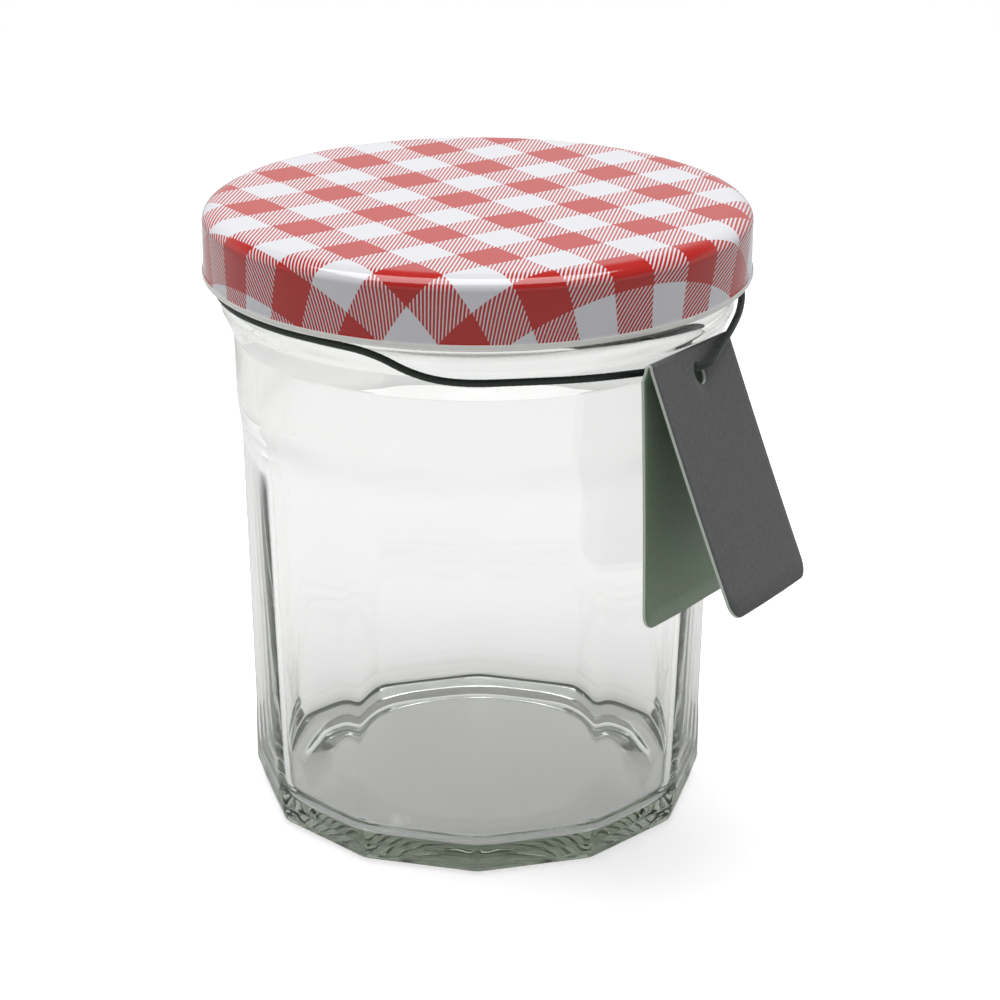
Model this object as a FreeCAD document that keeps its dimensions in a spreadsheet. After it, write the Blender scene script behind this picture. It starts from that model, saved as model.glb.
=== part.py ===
"""Preserving jar: faceted clear glass, twist-off tinplate lid, elastic cord and folded card tag.

Units are millimetres. The origin is the centre of the base, +Z is up and -Y is the front.
A facet edge of the glass faces the front.
"""
import FreeCAD, Part
import math
import os
import Sketcher
from FreeCAD import Placement, Rotation, Vector

SIZES = [
    # glass, outside
    ("facet_count", 12, "flat panels round the body"),
    ("shoulder_radius", 37.8, "top of the body"),
    ("shoulder_height", 77.5, "top of the body"),
    ("body_taper", 1.7, "radius lost from the shoulder down to the corners of the heel"),
    ("heel_taper", 1.1, "radius lost from the heel down to the corners of the foot"),
    ("heel_height", 3.3, "height of the sloping heel"),
    ("band_width", 11.7, "round band below the shoulder"),
    ("run_out", 7.6, "stretch in which the panels curve out into the band"),
    ("bead_stand", 1.8, "carrying bead outside the shoulder"),
    ("bead_rise", 4.0, "from the shoulder up to the bead"),
    ("bead_width", 5.0, "height of the bead"),
    ("neck_step", 0.7, "neck inside the bead, and height of the slope between them"),
    ("neck_height", 9.95, "from the bead to the rim"),
    ("rim_round", 1.1, "rounding of the rim"),
    ("bead_round", 0.6, "rounding of the bead and the shoulder"),
    # glass, inside
    ("neck_wall", 2.6, "glass at the neck"),
    ("shoulder_wall", 2.5, "glass at the top of the body"),
    ("panel_wall", 2.3, "glass in the middle of a panel, at the heel"),
    ("floor_thickness", 3.4, "glass under the contents"),
    ("floor_round", 4.0, "rounding between wall and floor"),
    ("foot_width", 6.5, "from the corners of the foot in to the hollow of the base"),
    ("punt_depth", 1.4, "hollow of the base"),
    ("punt_edge", 5.5, "slope at the edge of the hollow"),
    # lid
    ("thread_room", 3.25, "between the neck and the skirt"),
    ("lid_height", 10.5, "from the lower edge to the top"),
    ("lid_sheet", 0.25, "tinplate"),
    ("lid_round", 2.2, "rounding of the top edge"),
    ("curl_size", 1.5, "rolled lower edge"),
    ("curl_round", 0.62, "rounding of the rolled edge"),
    # cord and its knot
    ("cord_thickness", 1.1, "elastic cord"),
    ("cord_lead", 4.86, "from the knot to the first corner of the cord's route"),
    ("knot_length", 3.4, "knot, along the cord"),
    ("knot_belly", 1.36, "full middle stretch of the knot"),
    ("knot_radius", 1.5, "knot, at its middle"),
    ("knot_end_radius", 0.82, "knot, at its ends"),
    ("knot_clearance", 0.3, "between the bead and the knot"),
    ("knot_drop", 1.85, "from the edge of the lid down to the middle of the knot"),
    # tag
    ("tag_width", 28.0, "along the fold"),
    ("tag_length", 38.7, "from the fold to the lower edge"),
    ("card_thickness", 0.45, "folded card"),
    ("tag_corner", 2.6, "rounding of the lower corners"),
    ("tag_hole", 4.0, "punched hole"),
    ("hole_drop", 3.3, "from the fold to the hole"),
    ("back_lean", 4.1, "degrees the back leaf hangs off the vertical"),
    ("tag_opening", 19.6, "degrees between the leaves"),
    ("tag_side", 47.9, "degrees from the front round to the middle of the fold"),
    ("tag_stand", 2.01, "from the bead out to the middle of the fold"),
    ("tag_drop", 4.07, "from the edge of the lid down to the middle of the fold"),
    ("tag_facing", 62.3, "degrees from the front round to the way the tag faces"),
    ("tag_tilt", -5.6, "degrees the fold leans"),
]

# The cord leaves the knot at the back, comes round the left side to the front, passes through both
# holes of the tag and goes on round the right side, back to the knot. Each corner of its route is
# given by degrees from the front, distance outside the bead and distance below the edge of the lid.
CORD_ROUTE = [
    (-158, 1.6, 1.3),
    (-142, 1.3, 1.1),
    (-125, 1.3, 1.0),
    (-105, 1.3, 1.1),
    (-85, 1.3, 1.3),
    (-66, 1.3, 1.4),
    (-48, 1.3, 1.0),
    (-34, 1.2, 0.9),
    (-22, 1.1, 1.3),
    (-13, 1.0, 4.2),
    (-4, 1.1, 5.2),
    (9, 1.2, 5.0),
    (23, 1.3, 5.4),
    (36, 1.4, 5.9),
    (45, 1.7, 6.5),
    (48.6, 3.45, 6.75),
    (51.7, 3.8, 6.6),
    (54.2, 3.4, 6.3),
    (58, 2.6, 5.7),
    (62.5, 2.1, 5.1),
    (68, 1.7, 4.5),
    (77, 1.4, 3.8),
    (89, 1.3, 2.8),
    (104, 1.3, 1.7),
    (121, 1.3, 1.1),
    (136, 1.3, 1.1),
    (149, 1.4, 1.2),
    (160, 1.7, 1.3),
]

NEAR = 1e-4  # two lengths closer than this are the same

document = FreeCAD.newDocument("PreservingJar")


# ---- sizes: a spreadsheet, and numbers that remember the expression they come from ----

class Size:
    """A number together with the spreadsheet expression that gives it."""

    def __init__(self, value, text=None):
        self.value = float(value)
        self.text = text if text is not None else repr(float(value))

    def __add__(self, other):
        other = as_size(other)
        return Size(self.value + other.value, f"({self.text} + {other.text})")

    def __sub__(self, other):
        other = as_size(other)
        return Size(self.value - other.value, f"({self.text} - {other.text})")

    def __mul__(self, other):
        other = as_size(other)
        return Size(self.value * other.value, f"({self.text} * {other.text})")

    def __truediv__(self, other):
        other = as_size(other)
        return Size(self.value / other.value, f"({self.text} / {other.text})")

    def __neg__(self):
        return Size(-self.value, f"(-{self.text})")


def as_size(number):
    return number if isinstance(number, Size) else Size(number)


def cosine(degrees):
    return Size(math.cos(math.radians(degrees.value)), f"cos({degrees.text})")


def sine(degrees):
    return Size(math.sin(math.radians(degrees.value)), f"sin({degrees.text})")


def fill_sheet():
    """Writes every size into its own named cell and returns them as attributes."""
    sheet = document.addObject("Spreadsheet::Sheet", "Sizes")
    sizes = type("Sizes", (), {})()
    for row, (name, value, meaning) in enumerate(SIZES, start=1):
        sheet.set(f"A{row}", meaning)
        sheet.set(f"B{row}", str(value))
        sheet.setAlias(f"B{row}", name)
        setattr(sizes, name, Size(value, f"Sizes.{name}"))
    document.recompute()
    return sizes


size = fill_sheet()

heel_radius = size.shoulder_radius - size.body_taper
foot_radius = heel_radius - size.heel_taper
bead_radius = size.shoulder_radius + size.bead_stand
bead_low = size.shoulder_height + size.bead_rise
bead_top = bead_low + size.bead_width
neck_radius = bead_radius - size.neck_step
rim_height = bead_top + size.neck_height
lid_radius = neck_radius + size.thread_room + size.lid_sheet
lid_top = rim_height + size.lid_sheet
lid_low = lid_top - size.lid_height
knot_reach = bead_radius + size.knot_clearance + size.knot_radius
knot_height = lid_low - size.knot_drop


# ---- helpers for bodies and sketches ----

def origin_part(body, role):
    return next(feature for feature in body.Origin.OriginFeatures if feature.Role == role)


def new_body(name):
    body = document.addObject("PartDesign::Body", name)
    body.Label = name
    return body


def new_sketch(body, name, plane, turn=None):
    """A sketch on one of the body's own planes, turned about the plane's second axis if asked."""
    sketch = body.newObject("Sketcher::SketchObject", name)
    sketch.AttachmentSupport = (origin_part(body, plane), [""])
    sketch.MapMode = "FlatFace"
    if turn is not None:
        sketch.AttachmentOffset = Placement(Vector(), Rotation(Vector(0, 1, 0), turn.value))
        sketch.setExpression(".AttachmentOffset.Rotation.Angle", turn.text)
    return sketch


def set_distance(sketch, kind, first, second, distance):
    """Fixes one coordinate of a point, and binds it to the spreadsheet."""
    index = sketch.addConstraint(Sketcher.Constraint(kind, *first, *second, distance.value))
    sketch.setExpression(f"Constraints[{index}]", distance.text)


def draw_outline(sketch, corners):
    """A closed outline of straight lines, each corner set by its two distances from the origin."""
    corners = [(as_size(across), as_size(up)) for across, up in corners]
    count = len(corners)
    points = [Vector(across.value, up.value, 0) for across, up in corners]
    for line in range(count):
        sketch.addGeometry(Part.LineSegment(points[line], points[(line + 1) % count]), False)
    for line in range(count):
        sketch.addConstraint(Sketcher.Constraint("Coincident", line, 2, (line + 1) % count, 1))
    for line, (across, up) in enumerate(corners):
        for kind, axis, distance in (("DistanceX", -2, across), ("DistanceY", -1, up)):
            if distance.value == 0:
                sketch.addConstraint(Sketcher.Constraint("PointOnObject", line, 1, axis))
            else:
                set_distance(sketch, kind, (-1, 1), (line, 1), distance)


def revolve(body, name, sketch, axis="Z_Axis"):
    feature = body.newObject("PartDesign::Revolution", name)
    feature.Profile = sketch
    feature.ReferenceAxis = (origin_part(body, axis), [""])
    feature.Angle = 360
    document.recompute()
    return feature


def ring_edges(shape, places):
    """Names of the whole circular edges that lie at one of the given (radius, height) places."""
    names = []
    for number, edge in enumerate(shape.Edges, start=1):
        if not isinstance(edge.Curve, Part.Circle):
            continue
        for radius, height in places:
            same_radius = abs(edge.Curve.Radius - radius.value) < NEAR
            if same_radius and abs(edge.Curve.Center.z - height.value) < NEAR:
                names.append(f"Edge{number}")
    return names


def round_edges(body, name, base, edges, radius):
    feature = body.newObject("PartDesign::Fillet", name)
    feature.Base = (base, edges)
    feature.Radius = radius.value
    feature.setExpression("Radius", radius.text)
    document.recompute()
    return feature


# ---- jar: one piece of pressed glass ----

def make_jar():
    body = new_body("jar")
    half_panel = Size(180, "180") / size.facet_count
    flatness = cosine(half_panel)
    neck_low = bead_top + size.neck_step
    punt_radius = foot_radius - size.foot_width
    mouth_radius = neck_radius - size.neck_wall
    shoulder_inside = size.shoulder_radius - size.shoulder_wall
    heel_inside = heel_radius * flatness - size.panel_wall
    section = new_sketch(body, "JarSection", "XZ_Plane")
    draw_outline(section, [
        (0, size.punt_depth),
        (punt_radius - size.punt_edge, size.punt_depth),
        (punt_radius, 0),
        (foot_radius, 0),
        (heel_radius, size.heel_height),
        (size.shoulder_radius, size.shoulder_height),
        (bead_radius, bead_low),
        (bead_radius, bead_top),
        (neck_radius, neck_low),
        (neck_radius, rim_height),
        (mouth_radius, rim_height),
        (mouth_radius, bead_low),
        (shoulder_inside, size.shoulder_height),
        (heel_inside, size.floor_thickness),
        (0, size.floor_thickness),
    ])
    shell = revolve(body, "JarShell", section)
    floor = round_edges(body, "JarFloor", shell,
                        ring_edges(shell.Shape, [(heel_inside, size.floor_thickness)]), size.floor_round)
    bead = round_edges(body, "JarBead", floor, ring_edges(floor.Shape, [
        (size.shoulder_radius, size.shoulder_height),
        (bead_radius, bead_low),
        (bead_radius, bead_top),
        (neck_radius, neck_low),
        (shoulder_inside, size.shoulder_height),
        (mouth_radius, bead_low),
    ]), size.bead_round)
    round_edges(body, "JarLip", bead, ring_edges(bead.Shape, [
        (neck_radius, rim_height),
        (mouth_radius, rim_height),
    ]), size.rim_round)
    cut_panels(body, half_panel, flatness)
    return body


def cut_panels(body, half_panel, flatness):
    """Flat panels cut round the body, each curving out at its top into the round band above."""
    band_low = size.shoulder_height - size.band_width
    panel_top = band_low - size.run_out
    slope = size.body_taper / (size.shoulder_height - size.heel_height)
    panel_reach = (heel_radius + slope * (panel_top - size.heel_height)) * flatness
    band_radius = heel_radius + slope * (band_low - size.heel_height)
    # The curve is a parabola: at half its height it has gone a quarter of its way out.
    curve_reach = panel_reach + (band_radius - panel_reach) / 4
    curve_height = (panel_top + band_low) / 2
    clear = size.shoulder_radius * 2
    below = -size.heel_height
    sketch = new_sketch(body, "PanelSection", "XZ_Plane", half_panel)
    draw_outline(sketch, [
        ((foot_radius - size.heel_taper) * flatness, below),
        (heel_radius * flatness, size.heel_height),
        (panel_reach, panel_top),
        (curve_reach, curve_height),
        (band_radius, band_low),
        (clear, band_low),
        (clear, below),
    ])
    cut = body.newObject("PartDesign::Pocket", "PanelCut")
    cut.Profile = sketch
    cut.Type = 1
    cut.Midplane = True
    document.recompute()
    ring = body.newObject("PartDesign::PolarPattern", "Panels")
    ring.Originals = [cut]
    ring.Axis = (origin_part(body, "Z_Axis"), [""])
    ring.Angle = 360
    ring.Occurrences = int(size.facet_count.value)
    ring.setExpression("Occurrences", size.facet_count.text)
    body.Tip = ring
    document.recompute()


# ---- lid: drawn tinplate with a rolled lower edge, seated on the glass rim ----

def make_lid():
    body = new_body("lid")
    inside = lid_radius - size.lid_sheet
    curl_inside = lid_radius - size.curl_size
    curl_top = lid_low + size.curl_size
    section = new_sketch(body, "LidSection", "XZ_Plane")
    draw_outline(section, [
        (0, rim_height),
        (inside, rim_height),
        (inside, curl_top),
        (curl_inside, curl_top),
        (curl_inside, lid_low),
        (lid_radius, lid_low),
        (lid_radius, lid_top),
        (0, lid_top),
    ])
    shell = revolve(body, "LidShell", section)
    outer = round_edges(body, "LidTopEdge", shell,
                        ring_edges(shell.Shape, [(lid_radius, lid_top)]), size.lid_round)
    inner = round_edges(body, "LidInnerEdge", outer,
                        ring_edges(outer.Shape, [(inside, rim_height)]), size.lid_round - size.lid_sheet)
    round_edges(body, "LidCurl", inner, ring_edges(inner.Shape, [
        (lid_radius, lid_low),
        (curl_inside, lid_low),
        (curl_inside, curl_top),
    ]), size.curl_round)
    return body


# ---- cord: one round elastic cord, and the knot that closes its loop ----

def route_points():
    """Corners of the cord's route, from one end face of the knot to the other."""
    knot_end = size.knot_length.value / 2
    lead = knot_end + size.cord_lead.value
    leaving = [Vector(-across, knot_reach.value, knot_height.value) for across in (knot_end, lead)]
    arriving = [Vector(across, knot_reach.value, knot_height.value) for across in (lead, knot_end)]
    points = []
    for bearing, outside, below in CORD_ROUTE:
        angle = math.radians(bearing)
        distance = bead_radius.value + outside
        points.append(Vector(distance * math.sin(angle), -distance * math.cos(angle), lid_low.value - below))
    return leaving + points + arriving


def route_wire(points):
    """Straight runs joined by tangent arcs, each taking its share of the shorter of its two runs."""
    share = 0.45
    edges = []
    radii = []
    start = points[0]
    for before, corner, after in zip(points, points[1:], points[2:]):
        arrive = (corner - before).normalize()
        leave = (after - corner).normalize()
        half_turn = arrive.getAngle(leave) / 2
        reach = share * min((corner - before).Length, (after - corner).Length)
        radius = reach / math.tan(half_turn)
        inward = (leave - arrive).normalize()
        centre = corner + inward * (radius / math.cos(half_turn))
        first = corner - arrive * reach
        last = corner + leave * reach
        edges.append(Part.LineSegment(start, first).toShape())
        edges.append(Part.Arc(first, centre - inward * radius, last).toShape())
        radii.append(radius)
        start = last
    edges.append(Part.LineSegment(start, points[-1]).toShape())
    return Part.Wire(edges), radii


def make_cord():
    points = route_points()
    wire, radii = route_wire(points)
    thickness = size.cord_thickness.value
    section = Part.Wire(Part.Circle(points[0], points[1] - points[0], thickness / 2).toShape())
    tube = wire.makePipeShell([section], True, False)
    feature = document.addObject("Part::Feature", "cord")
    feature.Label = "cord"
    feature.Shape = tube
    feature.Placement = Placement()
    expected = math.pi * thickness ** 2 / 4 * wire.Length
    print("cord radii", [round(radius, 1) for radius in radii])
    print(f"cord length {wire.Length:.1f}, volume {tube.Volume:.2f}, expected {expected:.2f}")
    return feature


def make_knot():
    body = new_body("knot")
    half = size.knot_length / 2
    belly = size.knot_belly / 2
    section = new_sketch(body, "KnotSection", "XZ_Plane")
    draw_outline(section, [
        (-half, 0),
        (-half, size.knot_end_radius),
        (-belly, size.knot_radius),
        (belly, size.knot_radius),
        (half, size.knot_end_radius),
        (half, 0),
    ])
    revolve(body, "KnotShape", section, "X_Axis")
    body.Placement = Placement(Vector(0, knot_reach.value, knot_height.value), Rotation())
    body.setExpression(".Placement.Base.y", knot_reach.text)
    body.setExpression(".Placement.Base.z", knot_height.text)
    return body


# ---- tag: one card folded over at the top, both leaves punched for the cord ----

def make_tag():
    """Local axes: X out from the jar, Y along the fold, Z up, the middle of the fold at the origin."""
    body = new_body("tag")
    front_lean = size.back_lean + size.tag_opening
    gap = size.card_thickness / sine(size.tag_opening / 2)
    middle = size.back_lean + size.tag_opening / 2
    crotch_across = sine(middle) * gap / 2
    crotch_down = cosine(middle) * gap / 2

    def leaf_end(lean, side):
        across = sine(lean) * size.tag_length + cosine(lean) * size.card_thickness * side / 2
        up = sine(lean) * size.card_thickness * side / 2 - cosine(lean) * size.tag_length
        return across, up

    section = new_sketch(body, "TagSection", "XZ_Plane")
    half_card = size.card_thickness / 2
    draw_outline(section, [
        (-half_card * cosine(size.back_lean), -half_card * sine(size.back_lean)),
        leaf_end(size.back_lean, -1),
        leaf_end(size.back_lean, 1),
        (crotch_across, -crotch_down),
        leaf_end(front_lean, -1),
        leaf_end(front_lean, 1),
        (half_card * cosine(front_lean), half_card * sine(front_lean)),
        (0, half_card),
    ])
    pad = body.newObject("PartDesign::Pad", "TagLeaves")
    pad.Profile = section
    pad.Length = size.tag_width.value
    pad.setExpression("Length", size.tag_width.text)
    pad.Midplane = True
    document.recompute()
    corners = []
    for number, edge in enumerate(pad.Shape.Edges, start=1):
        across_card = abs(edge.Length - size.card_thickness.value) < NEAR
        at_lower_end = max(vertex.Z for vertex in edge.Vertexes) < -size.tag_length.value / 2
        if across_card and at_lower_end:
            corners.append(f"Edge{number}")
    rounded = round_edges(body, "TagCorners", pad, corners, size.tag_corner)
    hole = new_sketch(body, "TagHole", "YZ_Plane")
    centre = Vector(0, -size.hole_drop.value, 0)
    hole.addGeometry(Part.Circle(centre, Vector(0, 0, 1), size.tag_hole.value / 2), False)
    radius = hole.addConstraint(Sketcher.Constraint("Radius", 0, size.tag_hole.value / 2))
    hole.setExpression(f"Constraints[{radius}]", (size.tag_hole / 2).text)
    hole.addConstraint(Sketcher.Constraint("PointOnObject", 0, 3, -2))
    set_distance(hole, "DistanceY", (-1, 1), (0, 3), -size.hole_drop)
    punch = body.newObject("PartDesign::Pocket", "TagPunch")
    punch.Profile = hole
    punch.Type = 1
    punch.Midplane = True
    body.Tip = punch
    document.recompute()
    hang_tag(body)
    return body


def hang_tag(body):
    """Puts the middle of the fold where the cord holds it, turned and tilted as it hangs."""
    distance = bead_radius + size.tag_stand
    across = distance * sine(size.tag_side)
    along = -(distance * cosine(size.tag_side))
    height = lid_low - size.tag_drop
    facing = size.tag_facing - 90
    body.setExpression("Placement", (
        f"placement(vector({across.text}; {along.text}; {height.text}); "
        f"rotation(vector(0; 0; 1); {facing.text}) * rotation(vector(1; 0; 0); {size.tag_tilt.text}))"
    ))
    document.recompute()


# ---- build, check and write ----

def check_document():
    document.recompute()
    for item in document.Objects:
        if "Invalid" in item.State or "Error" in item.State:
            raise RuntimeError(f"{item.Name} failed: {item.State}")


def write(part):
    shape = part.Shape
    if shape.isNull() or not shape.isValid() or not shape.Solids:
        raise RuntimeError(f"{part.Label} is not a valid solid")
    shape.exportStep(f"parts/{part.Label}.step")
    box = shape.optimalBoundingBox()
    corners = ", ".join(f"{low:.2f}..{high:.2f}" for low, high in (
        (box.XMin, box.XMax), (box.YMin, box.YMax), (box.ZMin, box.ZMax)))
    print(f"{part.Label}: {len(shape.Solids)} solid, volume {shape.Volume:.1f}, box {corners}")


parts = [make_jar(), make_lid(), make_cord(), make_knot(), make_tag()]
check_document()
os.makedirs("parts", exist_ok=True)
for part in parts:
    write(part)
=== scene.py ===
"""Preserving jar: faceted glass, check-printed twist-off lid, elastic cord and folded card tag.

Lengths are in metres. The jar stands on z = 0 with its axis on Z, and its front is towards -Y.
"""
from math import cos, pi, radians, sin

import bmesh
import bpy
import numpy as np
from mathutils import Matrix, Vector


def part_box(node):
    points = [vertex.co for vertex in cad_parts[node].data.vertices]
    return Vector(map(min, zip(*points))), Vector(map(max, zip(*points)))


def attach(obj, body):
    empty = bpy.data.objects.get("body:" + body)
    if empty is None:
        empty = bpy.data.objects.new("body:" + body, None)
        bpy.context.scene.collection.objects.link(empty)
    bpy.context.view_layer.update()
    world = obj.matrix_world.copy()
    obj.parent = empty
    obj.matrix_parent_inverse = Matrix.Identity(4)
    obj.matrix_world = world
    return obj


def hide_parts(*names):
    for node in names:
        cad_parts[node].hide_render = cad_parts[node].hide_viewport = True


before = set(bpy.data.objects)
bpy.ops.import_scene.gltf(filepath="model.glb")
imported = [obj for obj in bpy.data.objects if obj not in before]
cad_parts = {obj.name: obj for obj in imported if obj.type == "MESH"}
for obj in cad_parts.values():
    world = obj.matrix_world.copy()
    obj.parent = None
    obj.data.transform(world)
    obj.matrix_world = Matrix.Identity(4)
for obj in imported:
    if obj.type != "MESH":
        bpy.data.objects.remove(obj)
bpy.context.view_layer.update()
mm = 0.001

# ---- camera ----
# A tall lens from the front, a little above the lid, so that the top of the lid and the thick base
# of the glass both show.

camera_distance = 0.450
camera_height = 0.2193
camera_pitch = radians(20.85)
camera_data = bpy.data.cameras.new("camera")
camera_data.sensor_width = 36
camera_data.lens = 109.22
camera_data.shift_x = 0.02242
camera = bpy.data.objects.new("camera", camera_data)
camera.location = (0, -camera_distance, camera_height)
camera.rotation_euler = (pi / 2 - camera_pitch, 0, 0)
scene = bpy.context.scene
scene.collection.objects.link(camera)
scene.camera = camera
scene.view_settings.view_transform = "Standard"

# ---- jar ----
# One piece of pressed glass: a thick base with a shallow hollow, twelve flat panels that run out
# into a round band, a bead that carries the lid's edge, and a plain rim.

facets = 12
jar_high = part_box("jar")[1]
rim = jar_high[2] - 0.05 * mm
bead_radius = jar_high[0]
bead_top = jar_high[2] - 11.55 * mm
bead_low = bead_top - 3.4 * mm
neck_radius = bead_radius - 1.95 * mm
shoulder_radius = bead_radius - 1.8 * mm
shoulder_height = bead_low - 4.0 * mm
band_low = shoulder_height - 11.7 * mm
run_out = 7.6 * mm
heel_radius = shoulder_radius - 1.7 * mm
heel_height = 3.3 * mm
foot_radius = heel_radius - 1.1 * mm
punt_radius = foot_radius - 10 * mm
punt_depth = 1.4 * mm
floor_height = 3.4 * mm
floor_round = 4 * mm
punt_inner = 23 * mm
punt_outer = 28.5 * mm
punt_soft = 6 * mm
wall_at_heel = 2.3 * mm
wall_at_shoulder = 2.5 * mm
wall_at_neck = 1.35 * mm
foot_round = 0.6 * mm
heel_round = 1.5 * mm
shoulder_round = 1.2 * mm
bead_low_round = 0.8 * mm
bead_top_round = 1.7 * mm
neck_round = 0.2 * mm
rim_round = 1.1 * mm
inside_round = 2 * mm
facet_crispness = 90  # the higher, the smaller the rounding of the edges between the panels
foot_crispness = 300
inside_crispness = 90


def rounded(corners, steps=7):
    """A profile of straight lines through the corners (across, up, rounding), each corner replaced
    by the arc of that radius that touches both of its lines."""
    corners = np.array(corners, float)
    places, radii = corners[:, :2], corners[:, 2]
    profile = [places[:1]]
    for before, corner, after, radius in zip(places, places[1:], places[2:], radii[1:]):
        arrive = (corner - before) / np.linalg.norm(corner - before)
        leave = (after - corner) / np.linalg.norm(after - corner)
        turn = np.arccos(np.clip(arrive @ leave, -1, 1))
        if radius == 0 or turn < 1e-6:
            profile.append(corner[None])
            continue
        inward = (leave - arrive) / np.linalg.norm(leave - arrive)
        centre = corner + inward * radius / cos(turn / 2)
        swing = np.linspace(-turn / 2, turn / 2, steps)[:, None]
        along = (arrive + leave) / np.linalg.norm(arrive + leave)
        profile.append(centre + radius * (np.sin(swing) * along - np.cos(swing) * inward))
    profile.append(places[-1:])
    return np.concatenate(profile)


def divided(profile, longest):
    """The same profile with every stretch cut into pieces no longer than the given length."""
    pieces = [profile[:1]]
    for start, end in zip(profile, profile[1:]):
        count = max(1, int(np.ceil(np.linalg.norm(end - start) / longest)))
        pieces.append(start + (end - start) * np.linspace(0, 1, count + 1)[1:, None])
    return np.concatenate(pieces)


def ring_quads(rows, columns, start=0):
    """Faces between neighbouring rings of points, whose first point has the number start."""
    ring = np.arange(columns)
    following = (ring + 1) % columns
    row = start + np.arange(rows - 1)[:, None] * columns
    quads = [row + ring, row + following, row + columns + following, row + columns + ring]
    return np.stack(quads, -1).reshape(-1, 4)


def skin(name, rings, uv=None):
    """A closed surface through rings of points, one ring a row. The first and the last ring shrink
    to one point each. Faces point outwards where the rings run from the lower middle round the
    outside to the upper middle, counter-clockwise seen from above."""
    rows, columns = rings.shape[:2]
    ring = np.arange(columns)
    following = (ring + 1) % columns
    quads = ring_quads(rows - 2, columns, start=1)
    last = 1 + (rows - 3) * columns
    top = last + columns
    fan_low = np.stack([np.zeros(columns, int), 1 + following, 1 + ring], -1)
    fan_high = np.stack([np.full(columns, top), last + ring, last + following], -1)
    points = np.concatenate([rings[:1, 0], rings[1:-1].reshape(-1, 3), rings[-1:, 0]])
    mesh = bpy.data.meshes.new(name)
    mesh.from_pydata(points.tolist(), [], fan_low.tolist() + quads.tolist() + fan_high.tolist())
    mesh.shade_smooth()
    if uv is not None:
        flat = np.concatenate([uv[:1, 0], uv[1:-1].reshape(-1, 2), uv[-1:, 0]])
        corner_vertex = np.empty(len(mesh.loops), int)
        mesh.loops.foreach_get("vertex_index", corner_vertex)
        mesh.uv_layers.new(name="flat").data.foreach_set("uv", flat[corner_vertex].ravel())
    piece = bpy.data.objects.new(name, mesh)
    scene.collection.objects.link(piece)
    return piece


def panelled(bearing, round_radius, panel_reach, crispness):
    """Radius of the glass at a bearing: the softened smaller of a circle and of a polygon whose
    sides lie panel_reach from the axis. 1/radius is the p-norm of 1/circle and of every side's
    cos(angle to its middle)/reach, where p is the crispness of the edges between the sides."""
    middles = (np.arange(facets) + 0.5) * 2 * pi / facets - pi / 2
    facing = np.clip(np.cos(bearing[None, :] - middles[:, None]), 0, None)
    sides = facing[:, None, :] / panel_reach[None, :, None]
    largest = np.maximum(sides.max(0), 1 / round_radius[:, None])
    power = crispness[:, None]
    total = ((sides / largest) ** power).sum(0) + (1 / round_radius[:, None] / largest) ** power
    return 1 / (largest * total ** (1 / power))


flatness = cos(pi / facets)
inside_shoulder = shoulder_radius - wall_at_shoulder
inside_heel = heel_radius * flatness - wall_at_heel
mouth = neck_radius - wall_at_neck
outside = rounded([
    (0, punt_depth, 0),
    (punt_inner, punt_depth, punt_soft),
    (punt_outer, 0, punt_soft),
    (foot_radius, 0, foot_round),
    (heel_radius, heel_height, heel_round),
    (shoulder_radius, shoulder_height, shoulder_round),
    (bead_radius, bead_low, bead_low_round),
    (bead_radius, bead_top, bead_top_round),
    (neck_radius, bead_top, neck_round),
    (neck_radius, rim, rim_round),
    (neck_radius - wall_at_neck / 2, rim, 0),
])
inside = rounded([
    (neck_radius - wall_at_neck / 2, rim, 0),
    (mouth, rim, rim_round),
    (mouth, bead_low, inside_round),
    (inside_shoulder, shoulder_height, inside_round),
    (inside_heel, floor_height, floor_round),
    (0, floor_height, 0),
], 12)
outside = divided(outside, 1.3 * mm)
inside = divided(inside, 2.0 * mm)[1:]
reach, height = np.concatenate([outside, inside]).T
is_outside = np.arange(len(reach)) < len(outside)

panel_top = band_low - run_out
taper = (shoulder_radius - heel_radius) / (shoulder_height - heel_height)
run = np.clip((height - panel_top) / run_out, 0, 1) ** 2
panel_end = (heel_radius + taper * (panel_top - heel_height)) * flatness
band_start = heel_radius + taper * (band_low - heel_height)
on_panel = np.where(height < panel_top, reach * flatness, panel_end + (band_start - panel_end) * run)
on_panel = np.where(height > band_low, 1.0, on_panel)
inward = np.clip((reach - punt_radius) / (foot_radius - punt_radius), 0, 1)
underside = reach * (1 - (1 - flatness) * inward ** 2 * (3 - 2 * inward))
on_panel = np.where((height < 1.5 * mm) & (reach < foot_radius), np.maximum(underside, 1e-6), on_panel)
inside_spread = np.where(height > panel_top, 1 + (1 / flatness - 1) * (1 - run), 1 / flatness)
circle = np.where(is_outside, reach, reach * inside_spread)
on_panel = np.where(is_outside, on_panel, np.where(height < band_low, reach, 1.0))
outside_crispness = np.interp(height, (heel_height, 4 * heel_height), (foot_crispness, facet_crispness))
crispness = np.where(is_outside, outside_crispness, inside_crispness)

columns_per_facet = 24
share = np.arange(columns_per_facet) / columns_per_facet
share = share - 0.75 * np.sin(2 * pi * share) / (2 * pi)
bearing = ((np.arange(facets)[:, None] + share) * 2 * pi / facets).ravel() - pi / 2
radius = panelled(bearing, np.maximum(circle, 1e-6), np.maximum(on_panel, 1e-6), crispness)
rings = np.stack([
    radius * np.cos(bearing),
    radius * np.sin(bearing),
    np.broadcast_to(height[:, None], radius.shape),
], -1)
jar = skin("jar_glass", rings)

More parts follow.
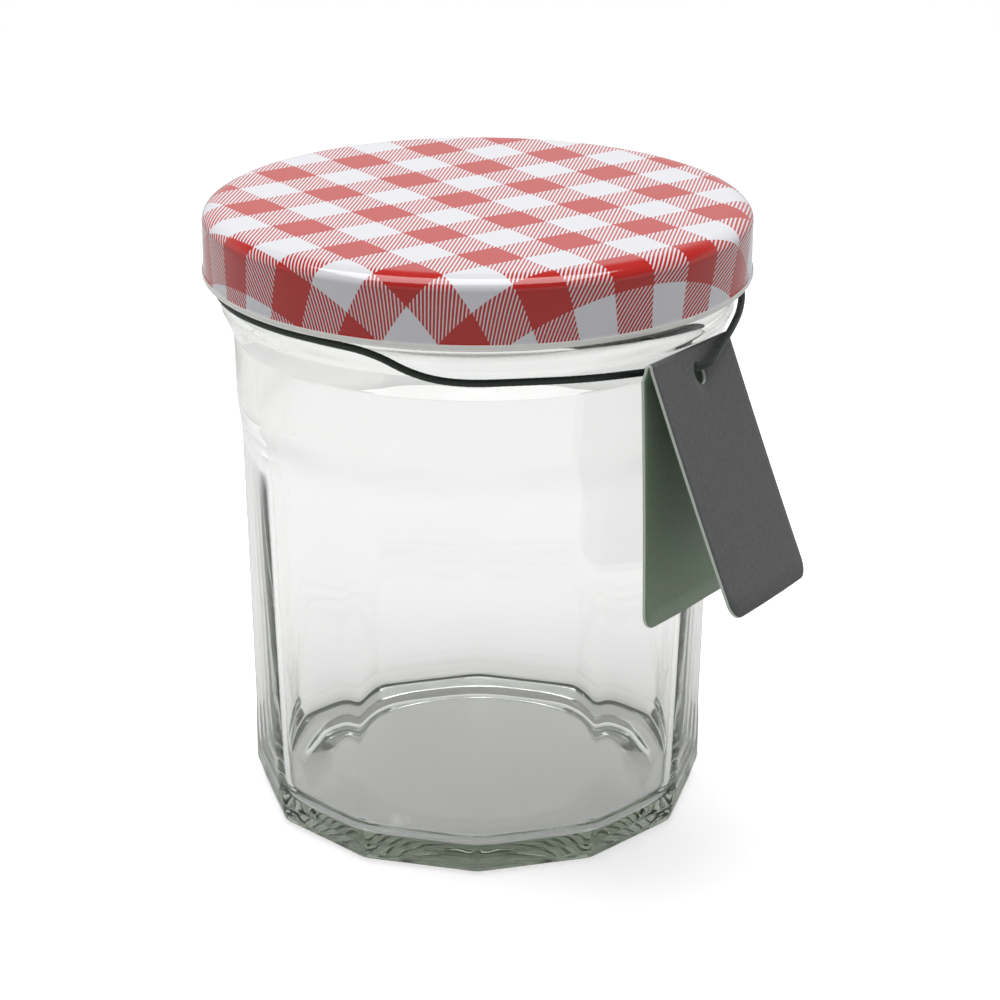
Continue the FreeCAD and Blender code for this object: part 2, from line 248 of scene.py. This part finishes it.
glass = bpy.data.materials.new("glass")
glass.use_nodes = True
nodes, links = glass.node_tree.nodes, glass.node_tree.links
shader = nodes["Principled BSDF"]
shader.inputs["Base Color"].default_value = (1, 1, 1, 1)
shader.inputs["Roughness"].default_value = 0.0
shader.inputs["IOR"].default_value = 1.52
shader.inputs["Transmission Weight"].default_value = 1.0
tint = nodes.new("ShaderNodeVolumeAbsorption")
tint.inputs["Color"].default_value = (0.636, 0.676, 0.612, 1)
tint.inputs["Density"].default_value = 50
links.new(tint.outputs["Volume"], nodes["Material Output"].inputs["Volume"])
jar.data.materials.append(glass)
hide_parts("jar")
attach(jar, "root")

# ---- lid ----
# Drawn tinplate, printed flat with a red and white check and then pressed, so the check runs on
# over the rounded edge and down the skirt. The rolled lower edge and the inside are cream enamel,
# made lighter than the white enamel so that the rolled edge shows a bright band: partly painted light.

lid_low, lid_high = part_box("lid")
panel_rise = 0.3 * mm
lid_edge, lid_top = lid_low[2], lid_high[2] + panel_rise
lid_radius = lid_high[0]
sheet = 0.25 * mm
curl = 0.75 * mm
curl_stand = 0.25 * mm
rounding_width = 3.5 * mm
rounding_depth = 2.0 * mm
print_margin = 1.15 * mm
drawn_stretch = 0.92  # length of the flat print for each length of the drawn side

skirt = lid_radius - curl_stand
flat_radius = skirt - rounding_width
curl_middle = (lid_radius - curl, lid_edge + curl)
around = np.linspace(radians(48), radians(-200), 32)
curl_line = np.stack([curl_middle[0] + curl * np.cos(around), curl_middle[1] + curl * np.sin(around)], -1)


def shoulder_line(depth, steps):
    """The lid's rounding, a quarter of an ellipse, that far under the outer surface."""
    swing = np.linspace(0, pi / 2, steps)
    return np.stack([
        flat_radius + (rounding_width - depth) * np.sin(swing),
        lid_top - depth - (rounding_depth - depth) * (1 - np.cos(swing)),
    ], -1)


over = np.concatenate([[(0, lid_top)], shoulder_line(0, 28), [(skirt, lid_edge + 2 * curl)]])
under = np.concatenate([
    [(curl_line[-1, 0], lid_edge + 2.2 * curl), (skirt - sheet, lid_edge + 2.8 * curl)],
    shoulder_line(sheet, 16)[::-1],
    [(0, lid_top - sheet)],
])
over = divided(over, 1.5 * mm)
lid_profile = np.concatenate([over, curl_line, divided(under, 3 * mm)])
run_length = np.concatenate([[0], np.cumsum(np.linalg.norm(np.diff(lid_profile, axis=0), axis=1))])
drawn_length = flat_radius + drawn_stretch * (run_length - flat_radius)
run_length = np.where(run_length > flat_radius, drawn_length, run_length)
on_curl = slice(len(over), len(over) + len(curl_line))
print_end = np.interp(-(lid_edge + print_margin), -lid_profile[on_curl, 1][:16], run_length[on_curl][:16])
lid_profile, run_length = lid_profile[::-1], run_length[::-1]
bearing = np.linspace(0, 2 * pi, 256, endpoint=False)
around_axis = np.stack([np.cos(bearing), np.sin(bearing)], -1)
rings = np.concatenate([
    lid_profile[:, None, :1] * around_axis,
    np.broadcast_to(lid_profile[:, None, 1:], (len(lid_profile), len(bearing), 1)),
], -1)
lid = skin("lid_tinplate", rings, run_length[:, None, None] * around_axis)

check_pitch = 14.06 * mm
check_turn = radians(-55.36)
check_start = (-31.97 * mm, 5.8 * mm)
stripes_per_check = 17.3
red_share_top, red_share_side = 0.47, 0.64  # share of each stripe that is red, on the flat top and down the side; the top's smaller share is painted light that makes the top paler

tinplate = bpy.data.materials.new("printed tinplate")
tinplate.use_nodes = True
nodes, links = tinplate.node_tree.nodes, tinplate.node_tree.links
shader = nodes["Principled BSDF"]


def value_node(operation, first, second=None):
    """A Math node of the material being made, with numbers or other nodes' outputs put in."""
    node = nodes.new("ShaderNodeMath")
    node.operation = operation
    for socket, value in zip(node.inputs, (first, second)):
        if isinstance(value, bpy.types.NodeSocket):
            links.new(value, socket)
        elif value is not None:
            socket.default_value = value
    return node.outputs[0]


def blend_node(share, first, second):
    """A colour between two others."""
    node = nodes.new("ShaderNodeMix")
    node.data_type = "RGBA"
    for socket, value in ((node.inputs["Factor"], share), (node.inputs[6], first), (node.inputs[7], second)):
        if isinstance(value, bpy.types.NodeSocket):
            links.new(value, socket)
        else:
            socket.default_value = value
    return node.outputs[2]


flat = nodes.new("ShaderNodeUVMap")
flat.uv_map = "flat"
place = nodes.new("ShaderNodeMapping")
place.vector_type = "TEXTURE"
place.inputs["Location"].default_value = (*check_start, 0)
place.inputs["Rotation"].default_value = (0, 0, check_turn)
place.inputs["Scale"].default_value = (check_pitch, check_pitch, 1)
links.new(flat.outputs["UV"], place.inputs["Vector"])
across = nodes.new("ShaderNodeSeparateXYZ")
links.new(place.outputs["Vector"], across.inputs[0])


def coloured_band(coordinate):
    """1 in the half of each pitch that is coloured, 0 in the half round each whole number."""
    return value_node("GREATER_THAN", value_node("PINGPONG", coordinate, 0.5), 0.25)


warp = coloured_band(across.outputs["X"])
weft = coloured_band(across.outputs["Y"])
both = value_node("MULTIPLY", warp, weft)
either = value_node("MAXIMUM", warp, weft)
slant = value_node("ADD", across.outputs["X"], across.outputs["Y"])
length = nodes.new("ShaderNodeVectorMath")
length.operation = "LENGTH"
links.new(flat.outputs["UV"], length.inputs[0])
# Painted light: the red share grows from the flat top over the rounding to the side, so the top reads paler,
# as the light from above makes it.
inked = nodes.new("ShaderNodeMapRange")
inked.inputs["From Min"].default_value = flat_radius
inked.inputs["From Max"].default_value = flat_radius + rounding_width
inked.inputs["To Min"].default_value = red_share_top
inked.inputs["To Max"].default_value = red_share_side
links.new(length.outputs["Value"], inked.inputs["Value"])
across_stripe = value_node("FRACT", value_node("MULTIPLY", slant, stripes_per_check))
stripe = value_node("LESS_THAN", across_stripe, inked.outputs["Result"])
ink = value_node("MAXIMUM", both, value_node("MULTIPLY", either, stripe))
white_enamel = (0.78, 0.78, 0.82, 1)
red_ink = (0.53, 0.022, 0.018, 1)
# Cream enamel, lighter than the white enamel: partly its own colour, partly painted light for the rolled
# edge's bright band.
cream_painted_bright = (0.92, 0.92, 0.88, 1)
printed = value_node("LESS_THAN", length.outputs["Value"], print_end)
colour = blend_node(printed, cream_painted_bright, blend_node(ink, white_enamel, red_ink))
links.new(colour, shader.inputs["Base Color"])
shader.inputs["Roughness"].default_value = 0.07
shader.inputs["IOR"].default_value = 1.52
lid.data.materials.append(tinplate)
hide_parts("lid")
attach(lid, "root")

# ---- cord ----
# A thin elastic cord, braided, tied into a loop that grips the neck under the lid's edge and
# carries the tag at the right of the front.

cord_thickness = 1.1 * mm
cord_lead = 4.86 * mm
braid_row = 0.16 * mm
braid_columns = 20
braid_pitch = 2.2 * mm
braid_strands = 8
braid_relief = 0.10
knot_low, knot_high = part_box("knot")
knot_half = knot_high[0]
knot_reach = (knot_low[1] + knot_high[1]) / 2
knot_height = (knot_low[2] + knot_high[2]) / 2
# Each corner of the route: degrees from the front, mm outside the bead, mm below the lid's edge.
cord_route = np.array([
    (-158, 1.6, 1.3), (-142, 1.3, 1.1), (-125, 1.3, 1.0), (-105, 1.3, 1.1), (-85, 1.3, 1.3),
    (-66, 1.3, 1.4), (-48, 1.3, 1.0), (-34, 1.2, 0.9), (-22, 1.1, 1.3), (-13, 1.0, 4.2),
    (-4, 1.1, 5.2), (9, 1.2, 5.0), (23, 1.3, 5.4), (36, 1.4, 5.9), (45, 1.7, 6.5),
    (48.6, 3.45, 6.75), (51.7, 3.8, 6.6), (54.2, 3.4, 6.3), (58, 2.6, 5.7), (62.5, 2.1, 5.1),
    (68, 1.7, 4.5), (77, 1.4, 3.8), (89, 1.3, 2.8), (104, 1.3, 1.7), (121, 1.3, 1.1),
    (136, 1.3, 1.1), (149, 1.4, 1.2), (160, 1.7, 1.3),
])
turn = np.radians(cord_route[:, 0])
distance = bead_radius + cord_route[:, 1] * mm
route = np.stack([
    distance * np.sin(turn),
    -distance * np.cos(turn),
    lid_edge - cord_route[:, 2] * mm,
], -1)
ends = np.array([(side * (knot_half + lead), knot_reach, knot_height)
                 for side, lead in ((-1, 0), (-1, cord_lead), (1, cord_lead), (1, 0))])
route = np.concatenate([ends[:2], route, ends[2:]])


def flowing_line(name, points):
    """A NURBS spline of order 3 with the given control points."""
    data = bpy.data.curves.new(name, "CURVE")
    data.dimensions = "3D"
    spline = data.splines.new("NURBS")
    spline.points.add(len(points) - 1)
    spline.points.foreach_set("co", np.column_stack([points, np.ones(len(points))]).ravel())
    spline.order_u = 3
    spline.use_endpoint_u = True
    spline.resolution_u = 24
    piece = bpy.data.objects.new(name, data)
    scene.collection.objects.link(piece)
    return piece


def braided_tube(name, centre, thickness):
    """A closed tube along the centre line. Its radius rises over two families of strands that wind
    opposite ways: 1 - relief * (1 - larger of |cos(turns + climb)| and |cos(turns - climb)|)."""
    steps = np.concatenate([[0], np.cumsum(np.linalg.norm(np.diff(centre, axis=0), axis=1))])
    rows = int(steps[-1] / braid_row)
    along = np.linspace(0, steps[-1], rows)
    line = np.stack([np.interp(along, steps, axis) for axis in centre.T], -1)
    ahead = np.gradient(line, axis=0)
    ahead /= np.linalg.norm(ahead, axis=1)[:, None]
    aside = np.cross(ahead, (0, 0.03, 1.0))
    aside /= np.linalg.norm(aside, axis=1)[:, None]
    above = np.cross(aside, ahead)
    turns = np.linspace(0, 2 * pi, braid_columns, endpoint=False)
    climb = along[:, None] * 2 * pi / braid_pitch
    leaning = [np.abs(np.cos(braid_strands * turns / 2 + way * climb)) for way in (1, -1)]
    strands = np.maximum(*leaning)
    reach = thickness / 2 * (1 - braid_relief * (1 - strands))
    reach[0] = reach[-1] = 0
    rings = (line[:, None] + reach[..., None] * (
        np.cos(turns)[:, None] * aside[:, None] - np.sin(turns)[:, None] * above[:, None]))
    flat = np.stack(np.broadcast_arrays(turns / (2 * pi), along[:, None]), -1)
    return skin(name, rings, flat)


spline_object = flowing_line("cord_line", route)
spline_mesh = bpy.data.meshes.new_from_object(spline_object)
centre_line = np.empty(len(spline_mesh.vertices) * 3)
spline_mesh.vertices.foreach_get("co", centre_line)
centre_line = centre_line.reshape(-1, 3)
bpy.data.objects.remove(spline_object)
cord = braided_tube("cord_elastic", centre_line, cord_thickness)

elastic = bpy.data.materials.new("braided elastic")
elastic.use_nodes = True
nodes, links = elastic.node_tree.nodes, elastic.node_tree.links
shader = nodes["Principled BSDF"]
fibre = nodes.new("ShaderNodeTexNoise")
fibre.inputs["Scale"].default_value = 2600
fibre.inputs["Detail"].default_value = 3
object_place = nodes.new("ShaderNodeTexCoord")
links.new(object_place.outputs["Object"], fibre.inputs["Vector"])
dark_green = (0.0075, 0.0140, 0.0095, 1)
worn_green = (0.020, 0.034, 0.024, 1)
links.new(blend_node(fibre.outputs["Fac"], dark_green, worn_green), shader.inputs["Base Color"])
shader.inputs["Roughness"].default_value = 0.62
shader.inputs["Sheen Weight"].default_value = 0.25
shader.inputs["Sheen Roughness"].default_value = 0.4
fuzz = nodes.new("ShaderNodeBump")
fuzz.inputs["Strength"].default_value = 0.5
fuzz.inputs["Distance"].default_value = 0.00005
links.new(fibre.outputs["Fac"], fuzz.inputs["Height"])
links.new(fuzz.outputs["Normal"], shader.inputs["Normal"])
cord.data.materials.append(elastic)
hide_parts("cord")
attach(cord, "root")

# ---- knot ----
# The cord's two ends meet at the back, where one is wound three times round the other.

wrap_turns = 3
wrap_radius = knot_high[2] - knot_height - cord_thickness / 2
wrap_share = np.linspace(0, 1, 160)
swing = wrap_share * 2 * pi * wrap_turns
flare = np.clip(np.minimum(wrap_share, 1 - wrap_share) * 2 * wrap_turns, 0, 1)
flare = flare ** 2 * (3 - 2 * flare) * wrap_radius
wrap = np.stack([
    knot_half * (2 * wrap_share - 1),
    knot_reach + flare * np.cos(swing),
    knot_height + flare * np.sin(swing),
], -1)
core = np.array([(-knot_half, knot_reach, knot_height), (knot_half, knot_reach, knot_height)])
knot = braided_tube("knot_wrapped", wrap, cord_thickness)
knot_core = braided_tube("knot_core", core, 2 * wrap_radius - cord_thickness)
for piece in (knot, knot_core):
    piece.data.materials.append(elastic)
    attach(piece, "root")
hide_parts("knot")

# ---- tag ----
# A card label folded in two over the cord, charcoal outside and green inside, its cut edges pale.
# Each leaf has a punched hole just under the fold, which the cord passes through.

tag_width = 28.0 * mm
leaf_rows = 13
fold_row_count = 9
leaf_length, back_length = 38.7 * mm, 39.6 * mm
card_thickness = 0.45 * mm
corner_round = 2.6 * mm
hole_radius = 1.7 * mm
hole_drop = 3.9 * mm
fold_bend = 0.42 * mm
back_lean, front_lean = radians(4.1), radians(23.7)
leaf_bow = radians(1.8)
tag_bearing = radians(62.3)
fold_tilt = radians(-5.6)
tag_side = radians(47.9)  # round the jar from its front
tag_reach = 41.61 * mm
tag_drop = 4.07 * mm  # of the fold below the lid's edge
cross_curl = 0.22 * mm
edge_sweep = 0.9 * mm  # of the back leaf's left edge towards the jar
sweep_start = 5 * mm
sweep_fade = 2.5 * mm
fold_middle = np.array([tag_reach * sin(tag_side), -tag_reach * cos(tag_side), lid_edge - tag_drop])
facing = np.array([sin(tag_bearing), -cos(tag_bearing), 0])
along_fold = np.array([cos(tag_bearing), sin(tag_bearing), 0])
fold_line = cos(fold_tilt) * along_fold + sin(fold_tilt) * np.array([0, 0, 1])
leaf_up = -sin(fold_tilt) * along_fold + cos(fold_tilt) * np.array([0, 0, 1])

fold_length = fold_bend * (pi - front_lean + back_lean)
down_card = np.linspace(-back_length, back_length, 1200)
past_fold = np.clip(down_card / fold_length + 0.5, 0, 1)
bow = leaf_bow * (np.abs(down_card) / leaf_length - 0.5) * np.sign(down_card)
heading = (pi + back_lean) * (1 - past_fold) + front_lean * past_fold + bow
out_step = np.sin(heading) * np.gradient(down_card)
down_step = np.cos(heading) * np.gradient(down_card)
card_out = np.cumsum(out_step)
card_down = np.cumsum(down_step)
card_out -= np.interp(0, down_card, card_out)
card_down -= np.interp(0, down_card, card_down)


def on_card(sheet_place):
    """Points of the folded card from (along the fold, signed distance from the fold) on the flat one."""
    along, past = sheet_place[..., 0], sheet_place[..., 1]
    curl = cross_curl * (along / (tag_width / 2)) ** 2 * np.clip(past / mm, -1, 1)
    swept = np.clip((sweep_start - along) / (sweep_start + tag_width / 2), 0, 1) ** 2
    swept = edge_sweep * swept * np.clip(-past / sweep_fade, 0, 1)
    out = np.interp(past, down_card, card_out) - curl - swept
    down = np.interp(past, down_card, card_down)
    return fold_middle + along[..., None] * fold_line + out[..., None] * facing - down[..., None] * leaf_up


leaf_start = fold_length / 2
half_width = tag_width / 2


def leaf_rings(length):
    """Rings of points from a leaf's hole out to its edge: the hole's rim blended into the outline."""
    outline = divided(rounded([
        (-half_width, leaf_start, 0), (half_width, leaf_start, 0),
        (half_width, length, corner_round), (-half_width, length, corner_round),
        (-half_width, leaf_start, 0),
    ], 10), 0.5 * mm)[:-1]
    hole_centre = np.array([0, hole_drop])
    towards = outline - hole_centre
    rim_ring = hole_centre + hole_radius * towards / np.linalg.norm(towards, axis=1)[:, None]
    return rim_ring + (outline - rim_ring) * np.linspace(0, 1, leaf_rows)[:, None, None]


front_leaf, back_leaf = leaf_rings(leaf_length), leaf_rings(back_length) * (1, -1)
edge_points = front_leaf[-1]
fold_across = edge_points[np.isclose(edge_points[:, 1], leaf_start), 0]
fold_rows = np.linspace(-leaf_start, leaf_start, fold_row_count)
fold_places = np.stack(np.broadcast_arrays(fold_across[None], fold_rows[:, None]), -1)
row = np.arange(len(fold_rows) - 1)[:, None] * len(fold_across)
column = np.arange(len(fold_across) - 1)
next_row = row + len(fold_across)
fold_faces = np.stack([row + column, next_row + column, next_row + column + 1, row + column + 1], -1)
sheet_places = np.concatenate([part.reshape(-1, 2) for part in (front_leaf, back_leaf, fold_places)])
front_count, back_count = front_leaf[..., 0].size, back_leaf[..., 0].size
card_faces = np.concatenate([
    ring_quads(*front_leaf.shape[:2]),
    ring_quads(*back_leaf.shape[:2], start=front_count)[:, ::-1],
    fold_faces.reshape(-1, 4) + front_count + back_count,
])
tag_mesh = bpy.data.meshes.new("tag_card")
tag_mesh.from_pydata(on_card(sheet_places).tolist(), [], card_faces.tolist())
corner_vertex = np.empty(len(tag_mesh.loops), int)
tag_mesh.loops.foreach_get("vertex_index", corner_vertex)
tag_mesh.uv_layers.new(name="flat").data.foreach_set("uv", sheet_places[corner_vertex].ravel())
joined = bmesh.new()
joined.from_mesh(tag_mesh)
bmesh.ops.remove_doubles(joined, verts=joined.verts, dist=0.001 * mm)
joined.to_mesh(tag_mesh)
joined.free()
tag_mesh.shade_smooth()
tag = bpy.data.objects.new("tag_card", tag_mesh)
scene.collection.objects.link(tag)
thickness = tag.modifiers.new("thickness", "SOLIDIFY")
thickness.thickness = card_thickness
thickness.offset = 0
thickness.material_offset = 1
thickness.material_offset_rim = 2


def card_material(name, colour, second_colour, roughness):
    """Uncoated card: two tones a little apart, mottled by its fibres, with a fine tooth."""
    global nodes, links  # blend_node puts its nodes there
    material = bpy.data.materials.new(name)
    material.use_nodes = True
    nodes, links = material.node_tree.nodes, material.node_tree.links
    shader = nodes["Principled BSDF"]
    place = nodes.new("ShaderNodeTexCoord")
    mottle = nodes.new("ShaderNodeTexNoise")
    mottle.inputs["Scale"].default_value = 1700
    mottle.inputs["Detail"].default_value = 5
    links.new(place.outputs["Object"], mottle.inputs["Vector"])
    links.new(blend_node(mottle.outputs["Fac"], colour, second_colour), shader.inputs["Base Color"])
    shader.inputs["Roughness"].default_value = roughness
    tooth = nodes.new("ShaderNodeBump")
    tooth.inputs["Strength"].default_value = 0.35
    tooth.inputs["Distance"].default_value = 0.00004
    links.new(mottle.outputs["Fac"], tooth.inputs["Height"])
    links.new(tooth.outputs["Normal"], shader.inputs["Normal"])
    return material


for material in (
        card_material("charcoal card", (0.072, 0.074, 0.077, 1), (0.150, 0.153, 0.158, 1), 0.62),
        card_material("green card", (0.190, 0.255, 0.180, 1), (0.260, 0.340, 0.245, 1), 0.62),
        card_material("cut edge of the card", (0.60, 0.66, 0.58, 1), (0.70, 0.76, 0.68, 1), 0.8)):
    tag.data.materials.append(material)
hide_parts("tag")
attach(tag, "root")

# ---- studio ----
# A plain pale table and surround, with one large soft lamp overhead. The camera sees a white
# surround. The one that the lid mirrors and that shows through the glass is darker, above all high up.

table_radius = 0.6
table_sides = 96
table_gap = 0.2 * mm
edge = np.linspace(0, 2 * pi, table_sides, endpoint=False)
table_points = np.stack([
    table_radius * np.cos(edge), table_radius * np.sin(edge), np.full(table_sides, -table_gap)], -1)
floor_mesh = bpy.data.meshes.new("floor")
floor_mesh.from_pydata(table_points.tolist(), [], [tuple(range(table_sides))])
floor = bpy.data.objects.new("floor", floor_mesh)
scene.collection.objects.link(floor)
table = bpy.data.materials.new("table")
table.use_nodes = True
nodes, links = table.node_tree.nodes, table.node_tree.links
shader = nodes["Principled BSDF"]
shader.inputs["Base Color"].default_value = (0.8, 0.8, 0.8, 1)
shader.inputs["Roughness"].default_value = 1.0
shader.inputs["Specular IOR Level"].default_value = 0.0
rays = nodes.new("ShaderNodeLightPath")
glow = value_node("MULTIPLY", rays.outputs["Is Camera Ray"], 0.58)
glow = value_node("ADD", glow, value_node("MULTIPLY", rays.outputs["Is Transmission Ray"], 0.20))
links.new(glow, shader.inputs["Emission Strength"])
shader.inputs["Emission Color"].default_value = (1, 1, 1, 1)
floor_mesh.materials.append(table)

world = bpy.data.worlds.new("studio")
world.use_nodes = True
scene.world = world
nodes, links = world.node_tree.nodes, world.node_tree.links
background = nodes["Background"]
background.inputs["Color"].default_value = (1, 1, 1, 1)
rays = nodes.new("ShaderNodeLightPath")
direction = nodes.new("ShaderNodeTexCoord")
upward = nodes.new("ShaderNodeSeparateXYZ")
links.new(direction.outputs["Generated"], upward.inputs[0])


def by_height(levels):
    """A level that changes with how far up the direction points: pairs of height and level."""
    ramp = None
    for (low_height, low_level), (high_height, high_level) in zip(levels, levels[1:]):
        part = nodes.new("ShaderNodeMapRange")
        part.inputs["From Min"].default_value = low_height
        part.inputs["From Max"].default_value = high_height
        part.inputs["To Min"].default_value = 0 if ramp else low_level
        part.inputs["To Max"].default_value = high_level - low_level if ramp else high_level
        links.new(upward.outputs["Z"], part.inputs["Value"])
        ramp = value_node("ADD", ramp, part.outputs["Result"]) if ramp else part.outputs["Result"]
    return ramp


lit = by_height([(-0.05, 0.08), (0.05, 0.26)])
mirrored = by_height([(-0.30, 0.30), (0.05, 0.75), (0.40, 0.75), (0.60, 0.15)])
through = by_height([(-0.45, 0.95), (-0.25, 0.86), (-0.05, 0.60), (0.20, 0.35)])
direct = value_node("LESS_THAN", rays.outputs["Diffuse Depth"], 0.5)  # not by way of a matt surface
mirrored = value_node("ADD", lit, value_node("MULTIPLY", direct, value_node("SUBTRACT", mirrored, lit)))
through = value_node("ADD", 1.0, value_node("MULTIPLY", direct, value_node("SUBTRACT", through, 1.0)))
strength = lit
for seen, level in (("Is Glossy Ray", mirrored), ("Is Transmission Ray", through), ("Is Camera Ray", 1.0)):
    strength = value_node("ADD", strength, value_node(
        "MULTIPLY", rays.outputs[seen], value_node("SUBTRACT", level, lit)))
links.new(strength, background.inputs["Strength"])

softbox_data = bpy.data.lights.new("softbox", "AREA")
softbox_data.shape = "RECTANGLE"
softbox_data.size = 0.7
softbox_data.size_y = 0.5
softbox_data.energy = 5.0
softbox = bpy.data.objects.new("softbox", softbox_data)
softbox.location = (-0.05, 0.05, 0.75)
scene.collection.objects.link(softbox)

light_bounces = 48  # enough for light to find its way out of the thick glass
scene.cycles.max_bounces = light_bounces
scene.cycles.transmission_bounces = light_bounces
scene.cycles.glossy_bounces = light_bounces
